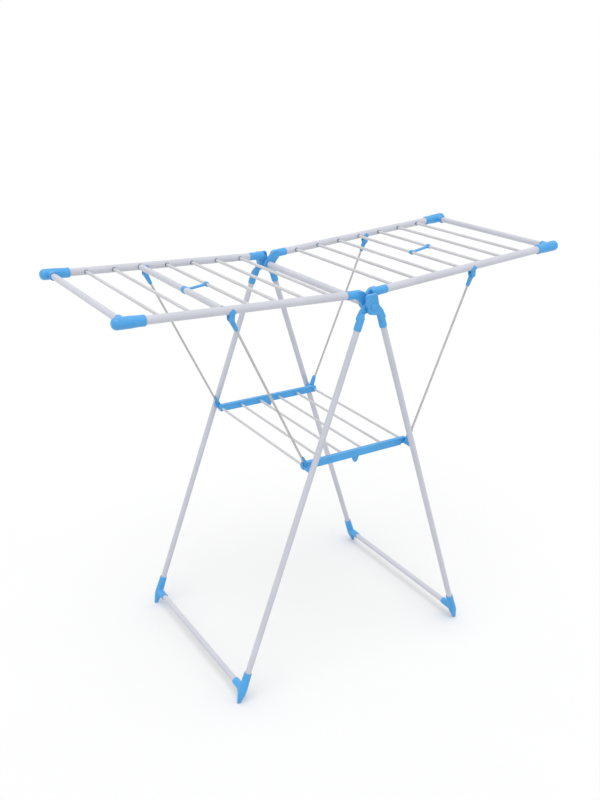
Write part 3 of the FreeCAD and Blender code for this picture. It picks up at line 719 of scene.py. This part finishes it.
class AIRER_OT_wing_arms(AirerStep, bpy.types.Operator):
    """Hub eyes with a rising neck and the socket of each side tube"""
    bl_idname = "airer.make_wing_arms"
    bl_label = "Wing arms at the hub"

    def execute(self, context):
        s = sizes()
        for side, end in QUARTERS:
            node = f"{side}_wing_arm_{end}"
            start, along, radius = wing_line(side, end)
            foot = beside_hub(start, along)
            normal = Vector((foot.x - hub().x, 0, foot.z - hub().z))
            offset = normal.length
            normal.normalize()
            plane = start.y
            thick = radius + s.wing_socket_wall
            if side == "right":
                faces = (plane - ENDS[end] * thick, plane - ENDS[end] * PLATE_HALF_GAP)
            else:
                faces = (plane + ENDS[end] * PLATE_HALF_GAP, plane + ENDS[end] * thick)

            at = placer(hub(), along, normal)
            top, low = offset + thick - 0.0005, offset - thick + 0.001
            seat = s.wing_socket_start + 0.018
            neck = [at(*on_circle(s.eye_radius, 112)), at(s.eye_radius * 0.45, top - 0.0105),
                    at(s.wing_socket_start - 0.003, top - 0.0035),
                    at(s.wing_socket_start + 0.005, top), at(seat, top), at(seat, low),
                    at(seat - 0.008, low / 2), at(*on_circle(s.eye_radius, -34))]
            first, mouth = s.wing_socket_start, s.wing_socket_end
            forms = [boss(hub(), s.eye_radius, *faces, soften=BOSS_SOFT),
                     slab(neck, *faces, soften=EDGE_SOFT),
                     turned(softened([(first, 0), (first, thick * 0.75), (first + 0.006, thick),
                                      (mouth - 0.010, thick - 0.0003),
                                      (mouth, radius + 0.0009), (mouth, 0)], 0.0008),
                            foot, along, s.steps)]
            moulding(f"{side}_wing_arm_moulding_{end}", forms, f"{side}_wing",
                     node, s.fillet_grain)
        return {"FINISHED"}


class AIRER_OT_corners(AirerStep, bpy.types.Operator):
    """Elbow caps: long sleeve with a collar, round swelling nose and a ring for the end tube"""
    bl_idname = "airer.make_corners"
    bl_label = "Corner caps"

    def execute(self, context):
        s = sizes()
        for side, end in QUARTERS:
            start, along, radius = wing_line(side, end)
            near, far, end_radius = tube_line(f"{side}_end_tube", ACROSS)
            tip = near if end == "near" else far
            elbow = start + along * (tip - start).dot(along)
            mouth, nose = -s.corner_mouth, s.corner_nose
            thin, thick = radius + s.corner_wall, radius + s.corner_bulge
            round_nose = arc((nose - s.corner_round, thick - s.corner_round), s.corner_round,
                             90, 0)
            sleeve = turned(
                [(mouth, 0), (mouth, thin - 0.0002), (mouth + 0.0007, thin + 0.0005),
                 (mouth + 0.008, thin + 0.0005), (mouth + 0.009, thin + 0.0001),
                 (mouth + 0.022, thin + 0.0006), (mouth + 0.036, thin + 0.0015),
                 (-0.004, thick - 0.0003), (0.004, thick)]
                + round_nose + [(nose, 0)], elbow, along, s.steps)
            inward = Vector((0, -ENDS[end], 0))
            reach = radius + 0.019
            ring = turned(
                softened([(0, 0), (0, s.corner_socket), (reach - 0.0035, s.corner_socket),
                          (reach - 0.003, s.corner_socket + 0.0006),
                          (reach, s.corner_socket + 0.0006), (reach, end_radius + 0.0005),
                          (reach - 0.002, end_radius + 0.0001), (reach - 0.002, 0)], 0.0005),
                elbow, inward, s.steps)
            moulding(f"{side}_corner_cap_{end}", [sleeve, ring], f"{side}_wing",
                     f"{side}_corner_{end}", s.fillet_grain)
        return {"FINISHED"}


class AIRER_OT_brackets(AirerStep, bpy.types.Operator):
    """Clasps with a peaked top on the side tubes, and two cheeks that hold each stay's pivot"""
    bl_idname = "airer.make_stay_brackets"
    bl_label = "Stay brackets"

    def execute(self, context):
        s = sizes()
        for side, end in QUARTERS:
            start, along, radius = wing_line(side, end)
            pivot = Vector(JOINTS[f"{side}_stay_swing_{end}"]["pos_m"])
            pivot.y = start.y
            middle = start + along * (pivot - start).dot(along)
            normal = (middle - pivot).normalized()
            half, thick = s.bracket_half, radius + s.bracket_wall
            clasp = turned(
                softened([(-half, 0), (-half, thick), (half, thick), (half, 0)], 0.0008),
                middle, along, s.steps)
            peak = middle + normal * s.bracket_peak
            for way in (-1, 1):
                cleared(clasp, peak, (normal + along * way).normalized())
            low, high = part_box(f"{side}_stay_knuckle_{end}")
            gap = (high.y - low.y) / 2 + FIT
            drop = (middle - pivot).length
            at = placer(pivot, along, normal)
            forms = [clasp]
            outline = [(half - 0.001, drop - radius), (half - 0.003, drop - radius / 2),
                       (-half + 0.003, drop - radius / 2), (-half + 0.001, drop - radius)]
            outline = [at(*spot) for spot in outline + arc((0, 0), s.cheek_radius, 180, 360, 12)]
            for face in (-1, 1):
                y0 = start.y + face * gap
                forms.append(slab(outline, y0, y0 + face * s.cheek, soften=0.0008))
            forms.append(boss(pivot, s.stay_pin, start.y - gap - 0.001, start.y + gap + 0.001,
                              0.0002))
            forms.append(boss(pivot, 0.0036, start.y + ENDS[end] * (gap + 0.003),
                              start.y + ENDS[end] * (gap + 0.0046), 0.0008))
            moulding(f"{side}_stay_bracket_moulding_{end}", forms, f"{side}_wing",
                     f"{side}_stay_bracket_{end}", FINE_GRAIN, FILLET_PASSES)
        return {"FINISHED"}


class AIRER_OT_knuckles(AirerStep, bpy.types.Operator):
    """Tapered knuckles on the upper ends of the stays"""
    bl_idname = "airer.make_stay_knuckles"
    bl_label = "Stay knuckles"

    def execute(self, context):
        s = sizes()
        for side, end in QUARTERS:
            node = f"{side}_stay_knuckle_{end}"
            pivot = Vector(JOINTS[f"{side}_stay_swing_{end}"]["pos_m"])
            upper, lower, radius = tube_line(f"{side}_stay_rod_{end}", Vector((0, 0, -1)))
            along = (lower - upper).normalized()
            pivot.y = upper.y
            across = Vector((along.z, 0, -along.x))
            low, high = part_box(node)
            half = (high.y - low.y) / 2
            eye, tip = s.cheek_radius, radius + 0.0012
            at = placer(pivot, along, across)
            outline = [at(*spot) for spot in arc((0, 0), eye, 95, 265, 10)]
            outline += [at(s.knuckle_length, -tip), at(s.knuckle_length, tip)]
            barrel = turned(
                softened([(0.004, 0), (0.004, half), (0.020, half - 0.0002),
                          (s.knuckle_length, tip), (s.knuckle_length, 0)], 0.0006),
                pivot, along, SMALL_STEPS)
            plate = slab(outline, pivot.y - half * 0.9, pivot.y + half * 0.9, soften=0.0012)
            moulding(f"{side}_stay_knuckle_moulding_{end}", [plate, barrel], f"{side}_stay_{end}",
                     node, 0.00045, 3)
        return {"FINISHED"}


class AIRER_OT_clips(AirerStep, bpy.types.Operator):
    """Lugs on the legs, each with the tapered open channel that the stay drops into"""
    bl_idname = "airer.make_leg_clips"
    bl_label = "Leg clips"

    def execute(self, context):
        s = sizes()
        for side, end in QUARTERS:
            node = f"{side}_leg_clip_{end}"
            peg, outer = inner_outer(node, end)
            upper, lower, radius = tube_line(f"{side}_stay_rod_{end}", Vector((0, 0, -1)))
            along = (upper - lower).normalized()
            axis = Vector(JOINTS["shelf_fold"]["pos_m"])
            axis.x = abs(axis.x) * SIDES[side]
            across = Vector((along.z, 0, -along.x)) * SIDES[side]
            plane = upper.y
            slot = radius + FIT
            wall = slot + s.channel_wall

            at = placer(axis, along, across)
            length = s.channel_length
            base = [at(0, -slot - 0.003), at(0.012, -slot - 0.003), at(length, -slot - 0.0014),
                    at(length, -slot), at(0, -slot)]
            side_wall = [at(0, -slot - 0.002), at(0.014, -slot - 0.002),
                         at(length, -slot - 0.0004), at(length, 0.0), at(0.024, 0.0032),
                         at(0.008, 0.0050), at(0, 0.0060)]
            forms = [slab(base, plane - wall, plane + wall, soften=0.0007),
                     slab(side_wall, plane - wall, plane - slot + 0.0001, soften=0.0006),
                     slab(side_wall, plane + slot - 0.0001, plane + wall, soften=0.0006),
                     boss(axis, s.lug_radius, plane - ENDS[end] * wall, outer, 0.0012)]
            if side == "right":
                forms.append(boss(axis, s.peg_radius, peg, plane, 0.0006))
            moulding(f"{side}_leg_clip_moulding_{end}", forms, f"{side}_legs",
                     node, FINE_GRAIN, FILLET_PASSES)
        return {"FINISHED"}


class AIRER_OT_links(AirerStep, bpy.types.Operator):
    """Centre links: a ribbed strip that lies askew, with a split ring round each of two rods"""
    bl_idname = "airer.make_centre_links"
    bl_label = "Centre links"

    def execute(self, context):
        s = sizes()
        for side in SIDES:
            node = f"{side}_centre_link"
            low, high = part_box(node)
            rods = rods_across(f"{side}_wing_rods")
            if side == "left":
                rods += rods_across("left_brace_tube")
            held = sorted((r for r in rods if low.x - 0.002 < r[0].x < high.x + 0.002),
                          key=lambda r: r[0].x)
            ends, forms = [], []
            for centre, radius, *_ in (held[0], held[-1]):
                bore = [v.co.y for v in frame["nodes"][node].data.vertices
                        if math.hypot(v.co.x - centre.x, v.co.z - centre.z) < radius + 0.0006]
                y0, y1 = min(bore), max(bore)
                ends.append(Vector((centre.x, (y0 + y1) / 2, centre.z)))
                outer = radius + (s.link_ring if radius < s.thin_rod else s.brace_ring)
                length = y1 - y0
                forms.append(turned(
                    softened([(0, radius - 0.0002), (0, outer), (length, outer),
                              (length, radius - 0.0002), (0, radius - 0.0002)], 0.0006),
                    Vector((centre.x, y0, centre.z)), ACROSS, s.steps))
            forms += self.strip(ends, held)
            moulding(f"{side}_centre_link_moulding", forms, f"{side}_wing", node, FINE_GRAIN, 2)
        return {"FINISHED"}

    def strip(self, ends, held):
        """Flat strip from ring to ring, with a rib along each edge."""
        run = ends[1] - ends[0]
        level = Vector((run.x, 0, run.z)).normalized()
        up = level.cross(ACROSS).normalized()
        a = ends[0] + run.normalized() * (held[0][1] + 0.001)
        b = ends[1] - run.normalized() * (held[-1][1] + 0.001)
        forms = []
        for y0, y1, thick in ((-0.0040, 0.0040, 0.0018), (-0.0043, -0.0027, 0.0025),
                              (0.0027, 0.0043, 0.0025)):
            corners = [p + ACROSS * y - up * thick
                       for p, y in ((a, y0), (a, y1), (b, y1), (b, y0))]
            forms.append(thickened(corners, up * 2 * thick))
        return forms


class AIRER_OT_rails(AirerStep, bpy.types.Operator):
    """Shelf rails with a rounded end, a boss for every rod, a hook seat and a finger tab"""
    bl_idname = "airer.make_shelf_rails"
    bl_label = "Shelf rails"

    def execute(self, context):
        s = sizes()
        rods = rods_across("shelf_rods")
        pivot = Vector(JOINTS["shelf_fold"]["pos_m"])
        for end in ENDS:
            node = f"shelf_rail_{end}"
            low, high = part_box(node)
            inner, outer = inner_outer(node, end)
            top, bottom = high.z, pivot.z - s.rail_below
            peg_x, notch, turn = -pivot.x, s.peg_radius + FIT, s.rail_round
            ring = (arc((high.x - turn, top - turn), turn, 0, 90)
                    + arc((low.x + turn, top - turn), turn, 90, 180)
                    + arc((low.x + turn, bottom + turn), turn, 180, 270))
            solid = ring + arc((high.x - turn, bottom + turn), turn, 270, 360)
            hooked = ring + [(peg_x - 3 * notch, bottom), (peg_x - notch, pivot.z + notch),
                             (peg_x + notch, pivot.z + notch), (peg_x + notch, bottom + 0.0004),
                             (high.x - 0.0004, bottom + 0.0008)]
            seat = inner + ENDS[end] * s.rail_seat
            forms = [slab(solid, inner, seat, soften=0.0010),
                     slab(hooked, seat - ENDS[end] * 0.0022, outer, soften=0.0010)]
            for centre, radius, *_ in rods:
                forms.append(boss(centre, radius + 0.0026, inner - ENDS[end] * 0.0035,
                                  inner + ENDS[end] * 0.003, 0.0008))
            middle, half = (inner + outer) / 2, s.tab_width / 2
            tab = [(-half, bottom + 0.002), (-half + 0.003, low.z + 0.006),
                   (-0.003, low.z), (0.003, low.z), (half - 0.003, low.z + 0.006),
                   (half, bottom + 0.002)]
            forms.append(slab(tab, middle - 0.003, middle + 0.003, soften=0.0012))
            moulding(f"shelf_rail_moulding_{end}", forms, "shelf", node, s.rail_grain, 2)
        return {"FINISHED"}


class AIRER_OT_collars(AirerStep, bpy.types.Operator):
    """Collars round the cross rods where each goes into the side tubes, coloured dark as painted
    shade of the holes there
    """
    bl_idname = "airer.make_rod_collars"
    bl_label = "Rod collars"

    def execute(self, context):
        s = sizes()
        for side in SIDES:
            rods = rods_across(f"{side}_wing_rods")
            if side == "left":
                rods += rods_across("left_brace_tube")
            forms = []
            for end, way in ENDS.items():
                face, _ = inner_outer(f"{side}_side_tube_{end}", end)
                for centre, radius, *_ in rods:
                    lip = s.collar_lip if radius < s.thin_rod else s.brace_lip
                    forms.append(turned(
                        softened([(-0.0016, 0), (-0.0016, radius + lip),
                                  (0.0010, radius + lip), (0.0020, radius + 0.0005),
                                  (0.0020, 0)], 0.0005),
                        Vector((centre.x, face, centre.z)), Vector((0, -way, 0)), SMALL_STEPS))
            # These dark rings are painted shade that stands for the holes where the rods enter the
            # side tubes.
            collars = assembled(f"{side}_rod_collars", forms)
            collars.data.shade_smooth()
            collars.data.set_sharp_from_angle(angle=SHARP_ANGLE)
            fitted(collars, f"{side}_wing", "collar")
        return {"FINISHED"}


class AIRER_OT_studio(AirerStep, bpy.types.Operator):
    """Pale floor, white room, soft light and the camera"""
    bl_idname = "airer.make_studio"
    bl_label = "Studio"

    def execute(self, context):
        studio = bpy.context.scene.airer_studio
        self.floor()
        self.room(studio)
        self.light("Key", (-0.5, -0.7, 3.0), studio.key_strength, 40.0)
        self.camera(studio)
        return {"FINISHED"}

    def floor(self):
        form = bmesh.new()
        bmesh.ops.create_grid(form, x_segments=4, y_segments=4, size=40.0)
        bmesh.ops.translate(form, vec=(0, 0, -0.0005), verts=form.verts[:])
        plain = assembled("studio_floor", [form])
        made, tree, where = blank_material("Pale studio floor")
        tone = placed_group(tree, "Tone drift", {"Vector": where["Object"],
                                                 "Color": colour("floor"), "Scale": 1.5,
                                                 "Amount": 0.006})
        shader = step(tree, "BsdfPrincipled",
                      {"Base Color": tone.outputs["Color"], "Roughness": 0.9})
        step(tree, "OutputMaterial", {"Surface": shader.outputs[0]})
        plain.data.materials.append(made)

    def room(self, studio):
        world = bpy.data.worlds.new("White room")
        world.use_nodes = True
        back = world.node_tree.nodes["Background"]
        back.inputs["Color"].default_value = (1.0, 1.0, 1.0, 1.0)
        back.inputs["Strength"].default_value = studio.sky
        bpy.context.scene.world = world
        bpy.context.scene.view_settings.view_transform = "Standard"

    def light(self, name, place, strength, spread):
        lamp = bpy.data.lights.new(name, "SUN")
        lamp.energy = strength
        lamp.angle = math.radians(spread)
        stand = bpy.data.objects.new(name, lamp)
        stand.location = place
        stand.rotation_euler = (-Vector(place)).to_track_quat("-Z", "Y").to_euler()
        bpy.context.scene.collection.objects.link(stand)

    def camera(self, studio):
        lens = bpy.data.cameras.new("Camera")
        lens.lens = studio.lens
        lens.sensor_width = 36.0
        lens.clip_end = 200.0
        stand = bpy.data.objects.new("Camera", lens)
        turn = (Matrix.Rotation(studio.azimuth, 3, "Z")
                @ Matrix.Rotation(math.pi / 2 - studio.elevation, 3, "X")
                @ Matrix.Rotation(studio.roll, 3, "Z"))
        stand.matrix_world = Matrix.Translation(studio.camera_place) @ turn.to_4x4()
        bpy.context.scene.collection.objects.link(stand)
        bpy.context.scene.camera = stand


OPERATORS = (AIRER_OT_tubes, AIRER_OT_feet, AIRER_OT_leg_arms, AIRER_OT_hub_caps,
             AIRER_OT_wing_arms, AIRER_OT_corners, AIRER_OT_brackets, AIRER_OT_knuckles,
             AIRER_OT_clips, AIRER_OT_links, AIRER_OT_rails, AIRER_OT_collars,
             AIRER_OT_studio)


class AIRER_PT_panel(bpy.types.Panel):
    """Steps of the build, in order"""
    bl_idname = "AIRER_PT_panel"
    bl_label = "Winged clothes airer"
    bl_space_type = "VIEW_3D"
    bl_region_type = "UI"
    bl_category = "Airer"

    def draw(self, context):
        column = self.layout.column()
        for operator in OPERATORS:
            column.operator(operator.bl_idname)
        for group in ("airer_sizes", "airer_colours", "airer_studio"):
            settings = getattr(context.scene, group)
            box = self.layout.box()
            for name in settings.__annotations__:
                box.prop(settings, name)


GROUPS = {"airer_sizes": AirerSizes, "airer_colours": AirerColours,
          "airer_studio": AirerStudio}


def register():
    for kind in (*GROUPS.values(), *OPERATORS, AIRER_PT_panel):
        bpy.utils.register_class(kind)
    for name, kind in GROUPS.items():
        setattr(bpy.types.Scene, name, PointerProperty(type=kind))


def unregister():
    for name in GROUPS:
        delattr(bpy.types.Scene, name)
    for kind in reversed((*GROUPS.values(), *OPERATORS, AIRER_PT_panel)):
        bpy.utils.unregister_class(kind)


def main():
    register()
    for operator in OPERATORS:
        group, name = operator.bl_idname.split(".")
        getattr(getattr(bpy.ops, group), name)()


if __name__ == "__main__":
    main()
